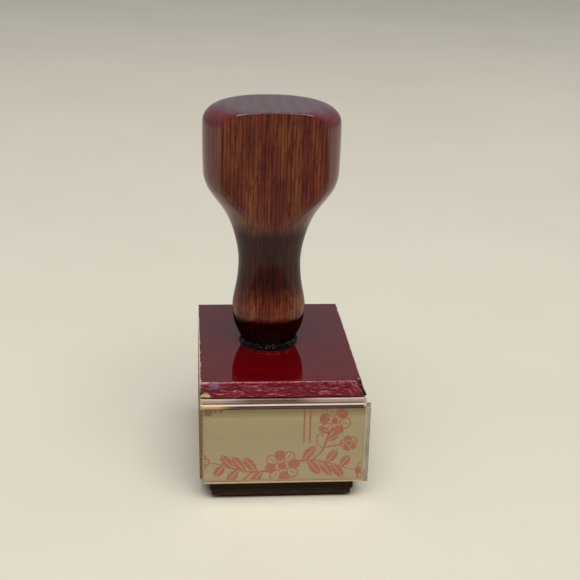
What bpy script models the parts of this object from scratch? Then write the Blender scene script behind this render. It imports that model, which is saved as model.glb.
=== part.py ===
"""Rubber stamp: a turned wooden handle on a lacquered board and a raw wooden block, with an index card
behind a clear sliding cover under a beaded rail, a foam cushion and a rubber die.

Units are metres and +Z is up. The origin is the centre of the die's print face, which rests on the table.
+X is to the right and -Y is the front, where the index card is.
"""

from math import acos, cos, degrees, pi, radians, sin, sqrt

import bmesh
import bpy
from mathutils import Vector

MM = 0.001
GAP = 0.3 * MM           # between pieces that touch
SHEET_GAP = 0.1 * MM     # above and below the card and each sheet of the printing stack

# Block and board
BLOCK_WIDTH = 42.2 * MM
DEPTH = 55.0 * MM
BLOCK_BOTTOM = 5.0 * MM
BOARD_BOTTOM = 29.4 * MM
BOARD_TOP = 33.6 * MM
BOARD_LEFT_SLOPE = 0.15 * MM     # how far the ends lean in from bottom to top
BOARD_RIGHT_SLOPE = 1.6 * MM
BOARD_KNEE_HEIGHT = 2.9 * MM     # above this height over its underside the right end is almost upright
BOARD_KNEE_SLOPE = 1.35 * MM
EDGE_ROUNDING = 0.25 * MM
FRONT = -DEPTH / 2

# Index rail: a clear extrusion with two beads, hooked into the block's top and cut flush with its ends
COVER_WALL = 0.9 * MM
COVER_FACE = FRONT + 0.15 * MM   # outer face of the rail's wall and of the window
BEAD_RADIUS = 0.72 * MM
BEAD_STAND = 0.6 * MM            # how far the two beads stand out of the wall
FLANGE_TOP = 29.0 * MM
FLANGE_DEPTH = 4.9 * MM          # from the outer face to the back of the top flange
HOOK_DROP = 1.5 * MM
RAIL_END_SLOPE = 0.5 * MM        # the right end is cut at a slant, longest at its foot
SKIRT_WALL = 0.35 * MM           # the part of the rail's wall in front of the window's tongue
TONGUE_RISE = 1.2 * MM
GROOVE_CLEARANCE = 0.2 * MM

# Index cover: a clear window that slides between the rail and a groove in the block's underside
COVER_WIDTH = 42.4 * MM
COVER_SHIFT = 1.0 * MM           # how far it stands to the right of the block
LIP_WALL = 0.5 * MM
LIP_DEPTH = 4.4 * MM
TOE_RISE = 1.0 * MM

CARD_THICKNESS = 0.2 * MM
CARD_WIDTH = 41.5 * MM
CARD_SHIFT = 0.3 * MM            # the card has crept this far to the right

# Handle: a turned profile, heights above its foot
HANDLE_X = -2.4 * MM
HANDLE_HEIGHT = 64.3 * MM
HEAD_RADIUS = 17.7 * MM
TOP_DISC_RADIUS = 11.6 * MM
SHOULDER_HEIGHT = 4.6 * MM
HANDLE_SEGMENTS = 56
FLAT_BOTTOM_HEIGHT = 32.0 * MM
FLAT_BOTTOM_DISTANCE = 10.2 * MM
FLAT_TOP_DISTANCE = 12.9 * MM
# (height, radius) from the foot to where the head becomes a straight barrel
HANDLE_OUTLINE = (
    (0.0, 7.05), (1.2, 7.3), (2.4, 7.85), (3.8, 8.5), (5.2, 9.05), (8.0, 9.6), (10.8, 9.7),
    (13.6, 9.25), (16.8, 8.65), (20.0, 8.3), (23.2, 8.2), (26.4, 8.55), (29.6, 9.25),
    (32.8, 10.25), (36.0, 11.75), (38.4, 13.3), (40.8, 15.1), (43.2, 16.6), (45.6, 17.4), (48.5, 17.6),
)

# Glue bead around the foot
BEAD_HEIGHT = 1.7 * MM
GLUE_RADIUS = 7.8 * MM
GLUE_BULGE = 0.2 * MM
GLUE_GAP = 0.15 * MM

# Wood screw from the block's underside into the handle
SCREW_LENGTH = 44.5 * MM
SCREW_HEAD_RADIUS = 4.1 * MM
SCREW_HEAD_HEIGHT = 2.6 * MM
SHANK_RADIUS = 2.1 * MM
CORE_RADIUS = 1.5 * MM
SHANK_LENGTH = 15.0 * MM
THREAD_PITCH = 1.8 * MM
TIP_LENGTH = 3.0 * MM
SLOT_WIDTH = 1.1 * MM
SLOT_DEPTH = 1.1 * MM
SCREW_HEAD_FACE = BLOCK_BOTTOM + 0.15 * MM

# Printing stack, from the table up
DIE_WIDTH = 36.0 * MM
DIE_DEPTH = 52.0 * MM
RELIEF_HEIGHT = 0.9 * MM
DIE_THICKNESS = 2.2 * MM
FILM_THICKNESS = 0.2 * MM
CUSHION_MARGIN = 0.6 * MM        # the cushion stands this far past the die all round
LIP_CLEARANCE = 0.3 * MM         # the upper film stops this far behind the window's sliding lip

# The raised picture: a flowering branch along the die, the same when it is turned half round.
# Along the branch is the die's Y, and the height above it is the die's -X.
LINE_WIDTH = 0.8 * MM
STEM_WAVE = 1.6 * MM
STEM_HALF_WAVE = 14.0 * MM
LEAF_SPREAD = 52
LEAF_LENGTH = 5.5 * MM
LEAF_WIDTH = 2.4 * MM
CENTRE_RADIUS = 4.6 * MM
STEM_TIP = 21.4 * MM
TIP_RADIUS = 2.6 * MM
TRELLIS_LINES = (5.4 * MM, 6.9 * MM)
TRELLIS_FOOT = 6.5 * MM
TRELLIS_TOP = 17.2 * MM
TRELLIS_WIDTH = 0.6 * MM

PARTS = "rubber_stamp"
CUTTERS = "cutters"


def clear_scene():
    for item in list(bpy.data.objects):
        bpy.data.objects.remove(item, do_unlink=True)
    for name in (PARTS, CUTTERS):
        bpy.context.scene.collection.children.link(bpy.data.collections.new(name))


def make_material(name, color, roughness, metallic=0.0, transmission=0.0):
    material = bpy.data.materials.new(name)
    material.use_nodes = True
    shader = material.node_tree.nodes["Principled BSDF"]
    shader.inputs["Base Color"].default_value = (*color, 1.0)
    shader.inputs["Roughness"].default_value = roughness
    shader.inputs["Metallic"].default_value = metallic
    shader.inputs["Transmission Weight"].default_value = transmission
    return material


def add_object(name, mesh, collection=PARTS, material=None, location=(0, 0, 0)):
    item = bpy.data.objects.new(name, mesh)
    item.location = location
    bpy.data.collections[collection].objects.link(item)
    if material:
        mesh.materials.append(material)
    if collection == CUTTERS:
        item.hide_render = True
        item.display_type = "WIRE"
    return item


def mesh_from_bmesh(name, bm):
    mesh = bpy.data.meshes.new(name)
    bm.to_mesh(mesh)
    bm.free()
    return mesh


def box_mesh(name, low, high):
    """A closed box between two corners."""
    low = Vector(low)
    high = Vector(high)
    bm = bmesh.new()
    bmesh.ops.create_cube(bm, size=1.0)
    bmesh.ops.scale(bm, vec=high - low, verts=bm.verts)
    bmesh.ops.translate(bm, vec=(low + high) / 2, verts=bm.verts)
    return mesh_from_bmesh(name, bm)


def evaluated_mesh(item):
    """The object's mesh with its modifiers applied."""
    bpy.context.view_layer.update()
    return bpy.data.meshes.new_from_object(item.evaluated_get(bpy.context.evaluated_depsgraph_get()))


def add_turned(name, profile, segments, collection=PARTS, material=None, location=(0, 0, 0)):
    """Turns a profile of (radius, height) points, listed from top to bottom at +X, about the Z axis.

    A profile that starts and ends on the axis gives a solid, and a closed one gives a ring.
    """
    mesh = bpy.data.meshes.new(name)
    points = [(radius, 0.0, height) for radius, height in profile]
    closed = points[0] == points[-1]
    if closed:
        points.pop()
    edges = [(i, i + 1) for i in range(len(points) - 1)]
    if closed:
        edges.append((len(points) - 1, 0))
    mesh.from_pydata(points, edges, [])
    item = add_object(name, mesh, collection, None, location)
    screw = item.modifiers.new("turn", "SCREW")
    screw.axis = "Z"
    screw.steps = segments
    screw.render_steps = segments
    screw.use_merge_vertices = True
    screw.merge_threshold = 0.00001
    item.data = evaluated_mesh(item)
    item.modifiers.clear()
    item.data.name = name
    if material:
        item.data.materials.append(material)
    return item


def add_prism(name, outline, low_x, high_x, collection=PARTS, material=None):
    """Extrudes a closed outline of (y, z) points along X between two places."""
    bm = bmesh.new()
    face = bm.faces.new([bm.verts.new((low_x, y, z)) for y, z in outline])
    moved = bmesh.ops.extrude_face_region(bm, geom=[face])["geom"]
    corners = [v for v in moved if isinstance(v, bmesh.types.BMVert)]
    bmesh.ops.translate(bm, vec=(high_x - low_x, 0, 0), verts=corners)
    bmesh.ops.recalc_face_normals(bm, faces=bm.faces)
    return add_object(name, mesh_from_bmesh(name, bm), collection, material)


def cut(item, cutter):
    change = item.modifiers.new("cut_" + cutter.name, "BOOLEAN")
    change.operation = "DIFFERENCE"
    change.object = cutter
    change.solver = "EXACT"


def join(item, added):
    change = item.modifiers.new("join_" + added.name, "BOOLEAN")
    change.operation = "UNION"
    change.object = added
    change.solver = "EXACT"


def round_edges(item, width, segments=2, angle=35):
    bevel = item.modifiers.new("rounding", "BEVEL")
    bevel.width = width
    bevel.segments = segments
    bevel.limit_method = "ANGLE"
    bevel.angle_limit = radians(angle)
    bevel.harden_normals = False


def shade_smooth(item, angle=35):
    item.data.shade_smooth()
    item.data.set_sharp_from_angle(angle=radians(angle))


def arc(centre, radius, start, end, steps):
    """Points on an arc about (a, b), with the angles in degrees."""
    angles = [radians(start + (end - start) * i / steps) for i in range(steps + 1)]
    return [(centre[0] + radius * cos(t), centre[1] + radius * sin(t)) for t in angles]


def handle_profile():
    """(radius, height) from the middle of the top to the middle of the foot."""
    shoulder_base = HANDLE_HEIGHT - SHOULDER_HEIGHT
    reach = HEAD_RADIUS - TOP_DISC_RADIUS
    points = [(0.0, HANDLE_HEIGHT)]
    steps = 7
    for i in range(steps + 1):
        turn = radians(90 - 90 * i / steps)
        points.append((TOP_DISC_RADIUS + reach * cos(turn), shoulder_base + SHOULDER_HEIGHT * sin(turn)))
    points += [(radius * MM, height * MM) for height, radius in reversed(HANDLE_OUTLINE)]
    points.append((0.0, 0.0))
    return points


def add_flat_cutter(side):
    """A big box whose inner face is the handle's slightly tilted flat; side is -1 for the front."""
    reach = 40 * MM
    rise = HANDLE_HEIGHT - FLAT_BOTTOM_HEIGHT
    tilt = (FLAT_TOP_DISTANCE - FLAT_BOTTOM_DISTANCE) / rise
    bottom = BOARD_TOP + FLAT_BOTTOM_HEIGHT - 12 * MM
    top = BOARD_TOP + HANDLE_HEIGHT + 6 * MM
    outline = []
    for height in (bottom, top):
        distance = FLAT_BOTTOM_DISTANCE + tilt * (height - BOARD_TOP - FLAT_BOTTOM_HEIGHT)
        outline.append((side * distance, height))
    outline += [(side * reach, top), (side * reach, bottom)]
    name = "front_flat" if side < 0 else "back_flat"
    return add_prism(name, outline, HANDLE_X - reach, HANDLE_X + reach, CUTTERS)


def add_handle(material):
    base = BOARD_TOP + GAP
    handle = add_turned("handle", handle_profile(), HANDLE_SEGMENTS, PARTS, material, (HANDLE_X, 0, base))
    for side in (-1, 1):
        cut(handle, add_flat_cutter(side))
    pilot_top = SCREW_HEAD_FACE + SCREW_LENGTH + 0.8 * MM
    pilot_low = BOARD_TOP - 2 * MM
    bore = SHANK_RADIUS + GAP
    pilot = [(0.0, pilot_top), (bore, pilot_top - 2 * MM), (bore, pilot_low), (0.0, pilot_low)]
    cut(handle, add_turned("handle_pilot", pilot, 16, CUTTERS, None, (HANDLE_X, 0, 0)))
    handle.data = evaluated_mesh(handle)
    handle.modifiers.clear()
    shade_smooth(handle, 25)


def foot_radius(height):
    """The handle's radius at a height above the board, low on the foot."""
    places = HANDLE_OUTLINE
    for (low, near), (high, far) in zip(places, places[1:]):
        if low * MM <= height <= high * MM:
            part = (height / MM - low) / (high - low)
            return (near + part * (far - near)) * MM
    return places[0][1] * MM


def add_glue_bead(material):
    """A ring that fills the corner between the foot and the board."""
    steps = 5
    outer = []
    for i in range(steps + 1):
        height = BEAD_HEIGHT * (1 - i / steps)
        outer.append((GLUE_RADIUS + GLUE_BULGE * sin(pi * i / steps), height))
    heights = [BEAD_HEIGHT * i / steps for i in range(steps + 1)]
    inner = [(foot_radius(height) + GLUE_GAP, height) for height in heights]
    profile = outer + inner
    profile.append(profile[0])
    item = add_turned("glue_bead", profile, 40, PARTS, material, (HANDLE_X, 0, BOARD_TOP + GAP))
    shade_smooth(item, 50)


def screw_profile():
    """(radius, height) of the screw above its head face, from tip to head, its thread as rings."""
    points = [(0.0, SCREW_LENGTH)]
    tip = SCREW_LENGTH - TIP_LENGTH
    points.append((CORE_RADIUS, tip))
    turns = int((tip - SCREW_HEAD_HEIGHT - SHANK_LENGTH) / THREAD_PITCH)
    for i in range(turns):
        height = tip - THREAD_PITCH * (i + 0.5)
        points.append((SHANK_RADIUS, height + 0.15 * MM))
        points.append((SHANK_RADIUS, height - 0.15 * MM))
        points.append((CORE_RADIUS, height - THREAD_PITCH / 2))
    points.append((SHANK_RADIUS, points[-1][1] - 0.4 * MM))
    points += [(SHANK_RADIUS, SCREW_HEAD_HEIGHT), (SCREW_HEAD_RADIUS, 0.25 * MM), (SCREW_HEAD_RADIUS, 0.0)]
    points.append((0.0, 0.0))
    return points


def add_screw(material):
    screw = add_turned("handle_screw", screw_profile(), 24, PARTS, material, (HANDLE_X, 0, SCREW_HEAD_FACE))
    reach = SCREW_HEAD_RADIUS + MM
    low = (HANDLE_X - SLOT_WIDTH / 2, -reach, SCREW_HEAD_FACE - MM)
    high = (HANDLE_X + SLOT_WIDTH / 2, reach, SCREW_HEAD_FACE + SLOT_DEPTH)
    cut(screw, add_object("screw_slot", box_mesh("screw_slot", low, high), CUTTERS))
    screw.data = evaluated_mesh(screw)
    screw.modifiers.clear()
    shade_smooth(screw, 35)


def add_screw_hole():
    """The cutter for the countersunk hole through the block and the board."""
    wide = SCREW_HEAD_RADIUS + GAP
    bore = SHANK_RADIUS + GAP
    profile = [(0.0, BOARD_TOP + MM), (bore, BOARD_TOP + MM), (bore, SCREW_HEAD_FACE + SCREW_HEAD_HEIGHT),
               (wide, SCREW_HEAD_FACE + 0.25 * MM), (wide, BLOCK_BOTTOM - MM), (0.0, BLOCK_BOTTOM - MM)]
    return add_turned("screw_hole", profile, 24, CUTTERS, None, (HANDLE_X, 0, 0))


def board_outline():
    """(x, z) points of the board seen from the front; its right end leans in, most in its lower part."""
    half = BLOCK_WIDTH / 2
    knee = (half - BOARD_KNEE_SLOPE, BOARD_BOTTOM + BOARD_KNEE_HEIGHT)
    return [
        (-half, BOARD_BOTTOM), (half, BOARD_BOTTOM), knee,
        (half - BOARD_RIGHT_SLOPE, BOARD_TOP), (-half + BOARD_LEFT_SLOPE, BOARD_TOP),
    ]


def add_top_board(material, screw_hole):
    bm = bmesh.new()
    face = bm.faces.new([bm.verts.new((x, -DEPTH / 2, z)) for x, z in board_outline()])
    moved = bmesh.ops.extrude_face_region(bm, geom=[face])["geom"]
    corners = [v for v in moved if isinstance(v, bmesh.types.BMVert)]
    bmesh.ops.translate(bm, vec=(0, DEPTH, 0), verts=corners)
    bmesh.ops.recalc_face_normals(bm, faces=bm.faces)
    board = add_object("top_board", mesh_from_bmesh("top_board", bm), PARTS, material)
    round_edges(board, EDGE_ROUNDING)
    cut(board, screw_hole)
    shade_smooth(board, 30)


def bead_half_height():
    sink = BEAD_RADIUS - BEAD_STAND
    return sqrt(BEAD_RADIUS ** 2 - sink ** 2)


def rail_foot():
    """Height of the rail's lower edge, under its two beads."""
    return FLANGE_TOP - 4 * bead_half_height()


def rail_outline():
    """(y, z) points of the rail's cross-section, starting at the outer bottom corner."""
    face = COVER_FACE
    inside = face + COVER_WALL
    back = face + FLANGE_DEPTH
    flange_under = FLANGE_TOP - COVER_WALL
    sink = BEAD_RADIUS - BEAD_STAND
    half_angle = degrees(acos(sink / BEAD_RADIUS))
    skirt_back = face + SKIRT_WALL
    slot_top = rail_foot() + TONGUE_RISE
    points = []
    for count in (3, 1):
        centre = (face + sink, FLANGE_TOP - count * bead_half_height())
        points += arc(centre, BEAD_RADIUS, 180 + half_angle, 180 - half_angle, 5)
    hook_front = back - COVER_WALL
    points += [(back, FLANGE_TOP), (back, flange_under - HOOK_DROP), (hook_front, flange_under - HOOK_DROP)]
    points += [(hook_front, flange_under), (inside, flange_under), (inside, slot_top)]
    points += [(skirt_back, slot_top), (skirt_back, rail_foot())]
    return points


def cover_outline():
    """(y, z) points of the window's cross-section: a tongue behind the rail, and a lip with a toe below."""
    face = COVER_FACE
    inside = face + COVER_WALL
    bottom = BLOCK_BOTTOM
    shoulder = rail_foot() - GROOVE_CLEARANCE
    tongue_front = face + SKIRT_WALL + GROOVE_CLEARANCE
    tongue_top = shoulder + TONGUE_RISE
    lip_back = face + LIP_DEPTH
    lip_top = bottom + LIP_WALL
    return [
        (face, bottom), (face, shoulder), (tongue_front, shoulder), (tongue_front, tongue_top),
        (inside, tongue_top), (inside, lip_top), (lip_back - COVER_WALL, lip_top),
        (lip_back - COVER_WALL, lip_top + TOE_RISE), (lip_back, lip_top + TOE_RISE), (lip_back, bottom),
    ]


def add_index_rail(material):
    rail = add_prism("index_rail", rail_outline(), -BLOCK_WIDTH / 2, BLOCK_WIDTH / 2, PARTS, material)
    for vertex in rail.data.vertices:
        if vertex.co.x > 0:
            above_foot = max(vertex.co.z - rail_foot(), 0.0) / (FLANGE_TOP - rail_foot())
            vertex.co.x -= RAIL_END_SLOPE * above_foot
    shade_smooth(rail, 35)


def add_index_cover(material):
    low_x = COVER_SHIFT - COVER_WIDTH / 2
    high_x = COVER_SHIFT + COVER_WIDTH / 2
    add_prism("index_cover", cover_outline(), low_x, high_x, PARTS, material)


def block_outline():
    """(y, z) points of the block's cross-section, with its grooves for the rail and the window."""
    top = BOARD_BOTTOM - GAP
    bottom = BLOCK_BOTTOM
    clear = GROOVE_CLEARANCE
    front = COVER_FACE + COVER_WALL + CARD_THICKNESS + 2 * clear
    flange_under = FLANGE_TOP - COVER_WALL - clear
    hook_back = COVER_FACE + FLANGE_DEPTH + clear
    hook_front = COVER_FACE + FLANGE_DEPTH - COVER_WALL - clear
    lip_top = bottom + LIP_WALL + clear
    toe_front = COVER_FACE + LIP_DEPTH - COVER_WALL - clear
    toe_back = COVER_FACE + LIP_DEPTH + clear
    return [
        (DEPTH / 2, bottom), (DEPTH / 2, top), (hook_back, top), (hook_back, flange_under - HOOK_DROP),
        (hook_front, flange_under - HOOK_DROP), (hook_front, flange_under), (front, flange_under),
        (front, lip_top), (toe_front, lip_top), (toe_front, lip_top + TOE_RISE),
        (toe_back, lip_top + TOE_RISE), (toe_back, bottom),
    ]


def add_mount_block(material, screw_hole):
    block = add_prism("mount_block", block_outline(), -BLOCK_WIDTH / 2, BLOCK_WIDTH / 2, PARTS, material)
    cut(block, screw_hole)
    shade_smooth(block, 30)


def add_index_card(material):
    front = COVER_FACE + COVER_WALL + GROOVE_CLEARANCE
    low = (CARD_SHIFT - CARD_WIDTH / 2, front, BLOCK_BOTTOM + LIP_WALL + SHEET_GAP)
    high = (CARD_SHIFT + CARD_WIDTH / 2, front + CARD_THICKNESS, FLANGE_TOP - COVER_WALL - SHEET_GAP)
    add_object("index_card", box_mesh("index_card", low, high), PARTS, material)


def add_sheet(name, bottom, top, margin, front, material):
    """A flat sheet of the printing stack, margin wider than the die; front is its nearest Y."""
    half_x = DIE_WIDTH / 2 + margin
    back = DIE_DEPTH / 2 + margin
    add_object(name, box_mesh(name, (-half_x, front, bottom), (half_x, back, top)), PARTS, material)


def add_printing_stack(film_material, foam_material):
    film_low = DIE_THICKNESS + SHEET_GAP
    cushion_low = film_low + FILM_THICKNESS + SHEET_GAP
    upper_film = BLOCK_BOTTOM - SHEET_GAP - FILM_THICKNESS
    cushion_high = upper_film - SHEET_GAP
    die_front = -DIE_DEPTH / 2
    behind_lip = COVER_FACE + LIP_DEPTH + LIP_CLEARANCE
    add_sheet("die_adhesive", film_low, film_low + FILM_THICKNESS, 0.0, die_front, film_material)
    add_sheet("cushion", cushion_low, cushion_high, CUSHION_MARGIN, die_front - CUSHION_MARGIN, foam_material)
    film_high = upper_film + FILM_THICKNESS
    add_sheet("mount_adhesive", upper_film, film_high, CUSHION_MARGIN, behind_lip, film_material)


def relief_from_outline(name, outline):
    """A raised closed shape on the die: an (x, y) outline from the print face up into the sheet."""
    bm = bmesh.new()
    face = bm.faces.new([bm.verts.new((x, y, 0.0)) for x, y in outline])
    moved = bmesh.ops.extrude_face_region(bm, geom=[face])["geom"]
    corners = [v for v in moved if isinstance(v, bmesh.types.BMVert)]
    bmesh.ops.translate(bm, vec=(0, 0, RELIEF_HEIGHT + 0.3 * MM), verts=corners)
    bmesh.ops.recalc_face_normals(bm, faces=bm.faces)
    return add_object(name, mesh_from_bmesh(name, bm), CUTTERS)


def strip(points, width):
    """The outline of a line of even width that follows a few (x, y) points."""
    left = []
    right = []
    for i, point in enumerate(points):
        before = Vector(points[max(i - 1, 0)])
        after = Vector(points[min(i + 1, len(points) - 1)])
        along = (after - before).normalized()
        across = Vector((-along.y, along.x)) * width / 2
        left.append(tuple(Vector(point) + across))
        right.append(tuple(Vector(point) - across))
    return left + right[::-1]


def leaf(base, direction, length, width):
    """A pointed leaf whose stalk end is at base; direction is in degrees."""
    steps = 5
    along = Vector((cos(radians(direction)), sin(radians(direction))))
    across = Vector((-along.y, along.x))
    upper = []
    lower = []
    for i in range(1, steps):
        part = i / steps
        half = width / 2 * sin(pi * part) ** 0.8
        upper.append(tuple(Vector(base) + along * length * part + across * half))
        lower.append(tuple(Vector(base) + along * length * part - across * half))
    tip = tuple(Vector(base) + along * length)
    return [tuple(base)] + upper + [tip] + lower[::-1]


def rosette(centre, radius, petals):
    """A flower seen from above: a disc with round petals."""
    steps = 4 * petals
    points = []
    for i in range(steps):
        turn = 2 * pi * i / steps
        reach = radius * (0.86 + 0.14 * cos(petals * turn))
        points.append((centre[0] + reach * cos(turn), centre[1] + reach * sin(turn)))
    return points


def on_die(along, height, turn):
    """A point of the picture as (x, y) on the die; turn is -1 for the half that is turned round."""
    return (-turn * height, turn * along)


def stem_height(along):
    """The main stem is a shallow wave through the middle of the picture."""
    return STEM_WAVE * sin(pi * along / STEM_HALF_WAVE)


def half_picture(turn):
    """One half of the picture as (name, outline) pairs; the other half is the same, turned round."""
    stem = [(along * MM, stem_height(along * MM)) for along in range(2, 20, 2)]
    shapes = [("stem", strip([on_die(*place, turn) for place in stem], LINE_WIDTH))]
    climber = [(7.5, 1.4), (10.2, 4.2), (11.4, 8.0), (13.0, 12.0)]
    shapes.append(("climber", strip([on_die(a * MM, h * MM, turn) for a, h in climber], LINE_WIDTH)))
    for along, side in ((5.2, 1), (6.6, -1), (9.6, -1), (11.4, 1), (12.8, -1)):
        foot = (along * MM, stem_height(along * MM))
        direction = side * LEAF_SPREAD + (0 if turn > 0 else 180) + 90
        shapes.append((f"leaf_{along}", leaf(on_die(*foot, turn), direction, LEAF_LENGTH, LEAF_WIDTH)))
    shapes.append(("blossom", rosette(on_die(13.2 * MM, 12.6 * MM, turn), 4.0 * MM, 6)))
    shapes.append(("bud", rosette(on_die(17.0 * MM, 6.2 * MM, turn), 2.2 * MM, 5)))
    shapes.append(("tip", rosette(on_die(STEM_TIP, stem_height(STEM_TIP), turn), TIP_RADIUS, 6)))
    for along in TRELLIS_LINES:
        ends = [on_die(along, TRELLIS_FOOT, turn), on_die(along, TRELLIS_TOP, turn)]
        shapes.append((f"trellis_{along / MM:.1f}", strip(ends, TRELLIS_WIDTH)))
    return shapes


def add_relief(die):
    """Joins the raised picture to the die's sheet."""
    shapes = [("centre", rosette((0.0, 0.0), CENTRE_RADIUS, 8))]
    shapes += half_picture(1)
    shapes += half_picture(-1)
    for number, (name, outline) in enumerate(shapes):
        join(die, relief_from_outline(f"relief_{number}_{name}", outline))


def add_rubber_die(material):
    half_x = DIE_WIDTH / 2
    half_y = DIE_DEPTH / 2
    mesh = box_mesh("rubber_die", (-half_x, -half_y, RELIEF_HEIGHT), (half_x, half_y, DIE_THICKNESS))
    die = add_object("rubber_die", mesh, PARTS, material)
    add_relief(die)


def main():
    clear_scene()
    stained_wood = make_material("stained_wood", (0.13, 0.035, 0.02), 0.25)
    cherry_lacquer = make_material("cherry_lacquer", (0.16, 0.008, 0.012), 0.2)
    raw_wood = make_material("raw_wood", (0.38, 0.24, 0.11), 0.7)
    black_glue = make_material("black_glue", (0.01, 0.01, 0.01), 0.15)
    steel = make_material("steel", (0.55, 0.54, 0.5), 0.35, metallic=1.0)
    clear_plastic = make_material("clear_plastic", (0.85, 0.8, 0.66), 0.08, transmission=0.9)
    cream_card = make_material("cream_card", (0.45, 0.37, 0.2), 0.8)
    adhesive = make_material("adhesive", (0.6, 0.5, 0.3), 0.5)
    foam = make_material("foam", (0.12, 0.11, 0.1), 0.9)
    rubber = make_material("rubber", (0.3, 0.06, 0.045), 0.6)

    screw_hole = add_screw_hole()
    add_top_board(cherry_lacquer, screw_hole)
    add_mount_block(raw_wood, screw_hole)
    add_handle(stained_wood)
    add_glue_bead(black_glue)
    add_screw(steel)
    add_index_rail(clear_plastic)
    add_index_cover(clear_plastic)
    add_index_card(cream_card)
    add_printing_stack(adhesive, foam)
    add_rubber_die(rubber)


main()
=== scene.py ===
"""Looks of the rubber stamp: varnished handle, lacquered board, raw block, clear index cover, printed card,
glue bead, cushion and die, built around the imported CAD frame. Lengths are metres, in the frame's own axes.
"""

from math import acos, cos, degrees, pi, radians, sin, sqrt

import bmesh
import bpy
from mathutils import Matrix, Vector, noise


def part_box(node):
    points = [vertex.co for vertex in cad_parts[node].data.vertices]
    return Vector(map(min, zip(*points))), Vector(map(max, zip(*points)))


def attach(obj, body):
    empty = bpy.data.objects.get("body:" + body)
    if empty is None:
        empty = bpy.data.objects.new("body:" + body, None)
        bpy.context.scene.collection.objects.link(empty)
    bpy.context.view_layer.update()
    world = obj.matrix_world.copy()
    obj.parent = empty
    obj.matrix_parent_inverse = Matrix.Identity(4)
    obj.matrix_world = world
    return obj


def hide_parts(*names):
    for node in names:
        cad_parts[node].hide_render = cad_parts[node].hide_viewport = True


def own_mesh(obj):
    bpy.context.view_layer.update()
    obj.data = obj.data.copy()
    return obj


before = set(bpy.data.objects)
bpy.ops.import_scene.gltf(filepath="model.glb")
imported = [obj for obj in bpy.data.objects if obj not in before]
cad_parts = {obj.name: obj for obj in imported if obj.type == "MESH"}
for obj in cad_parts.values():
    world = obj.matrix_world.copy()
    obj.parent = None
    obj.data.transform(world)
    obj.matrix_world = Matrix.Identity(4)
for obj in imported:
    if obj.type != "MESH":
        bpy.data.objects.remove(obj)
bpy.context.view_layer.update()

MM = 0.001

# Camera
CAMERA_PLACE = (-23.3 * MM, -291.5 * MM, 154.2 * MM)
CAMERA_PITCH = 19.95
CAMERA_YAW = 5.21
CAMERA_ROLL = 1.46
CAMERA_LENS = 72.25

# Handle
HANDLE_X = -2.4 * MM
FLAT_BOTTOM_HEIGHT = 32.0 * MM
FLAT_BOTTOM_DISTANCE = 10.2 * MM
FLAT_TOP_DISTANCE = 12.9 * MM
ARRIS_ROUNDING = 1.0 * MM
TOP_ARRIS_ROUNDING = 0.9 * MM
TOP_ARRIS_HEIGHT = 57.0 * MM
HANDLE_HEIGHT = 64.3 * MM
FLAT_START = 22.0 * MM              # lower down the handle is round
HEAD_RADIUS = 17.7 * MM
TOP_DISC_RADIUS = 11.6 * MM
SHOULDER_HEIGHT = 4.6 * MM
SHOULDER_FULLNESS = 3.0

# Board
BOARD_THICKNESS = 4.2 * MM
BOARD_ROUNDING = 0.2 * MM
BOARD_LEFT_SLOPE = 0.15 * MM
BOARD_RIGHT_SLOPE = 1.6 * MM
BOARD_KNEE_HEIGHT = 2.9 * MM
BOARD_KNEE_SLOPE = 1.35 * MM

# Index rail and window, as the CAD cross-sections
COVER_WALL = 0.9 * MM
BEAD_RADIUS = 0.72 * MM
BEAD_STAND = 0.6 * MM
FLANGE_DEPTH = 4.9 * MM
HOOK_DROP = 1.5 * MM
RAIL_END_SLOPE = 0.5 * MM
RAIL_END_WEAR = 0.9 * MM
SKIRT_WALL = 0.35 * MM
TONGUE_RISE = 1.2 * MM
GROOVE_CLEARANCE = 0.2 * MM
LIP_WALL = 0.5 * MM
LIP_DEPTH = 4.4 * MM
TOE_RISE = 1.0 * MM
WINDOW_EDGE = 0.15 * MM

# Picture: a flowering branch along the die, the same when it is turned half round
LINE = 0.34 * MM
STEM_WAVE = 1.6 * MM
STEM_HALF_WAVE = 14.0 * MM
LEAF_SPREAD = 52
LEAF_WIDTH = 2.4 * MM
CENTRE_RADIUS = 4.6 * MM
STEM_TIP = 21.4 * MM
TIP_RADIUS = 2.6 * MM
TRELLIS_LINES = (5.4 * MM, 6.9 * MM)
TRELLIS_FOOT = 6.5 * MM
TRELLIS_TOP = 17.2 * MM
RELIEF_HEIGHT = 0.9 * MM
RELIEF_OVERLAP = 0.06 * MM
RELIEF_STEP = 0.0015 * MM
INK_THICKNESS = 0.02 * MM
INK_STEP = 0.0008 * MM
HEIGHT_CYCLE = 13                   # with it, shapes of the picture that cross never share a height
BRANCHES = (                        # line width in LINEs, then its points along and above the branch, in mm
    (1.5, ((7.5, 1.4), (10.2, 4.2), (11.4, 8.0), (12.4, 10.5))),
    (1.0, ((11.0, 5.2), (13.4, 5.6), (15.6, 6.0))),
    (0.9, ((10.6, 4.6), (8.8, 6.4), (8.9, 8.6), (10.0, 9.0), (10.1, 8.0))))
STEM_LEAVES = ((5.2, 1, 5.5), (6.6, -1, 5.5), (9.6, -1, 5.5), (11.4, 1, 4.6), (12.8, -1, 5.0), (15.0, 1, 4.0))

# Card: the print on it, and its stains as (from the left, from the top, size)
STEM_ON_CARD = 3.9 * MM
PRINT_SIDE_MARGIN = 0.5 * MM
PRINT_EDGE_MARGIN = 0.1 * MM
PRINT_LIFT = 0.004 * MM
CARD_STAINS = ((1.6 * MM, 3.2 * MM, 1.15 * MM), (3.1 * MM, 2.95 * MM, 0.55 * MM),
               (4.7 * MM, 2.9 * MM, 0.55 * MM), (1.9 * MM, 5.6 * MM, 0.3 * MM))

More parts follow.
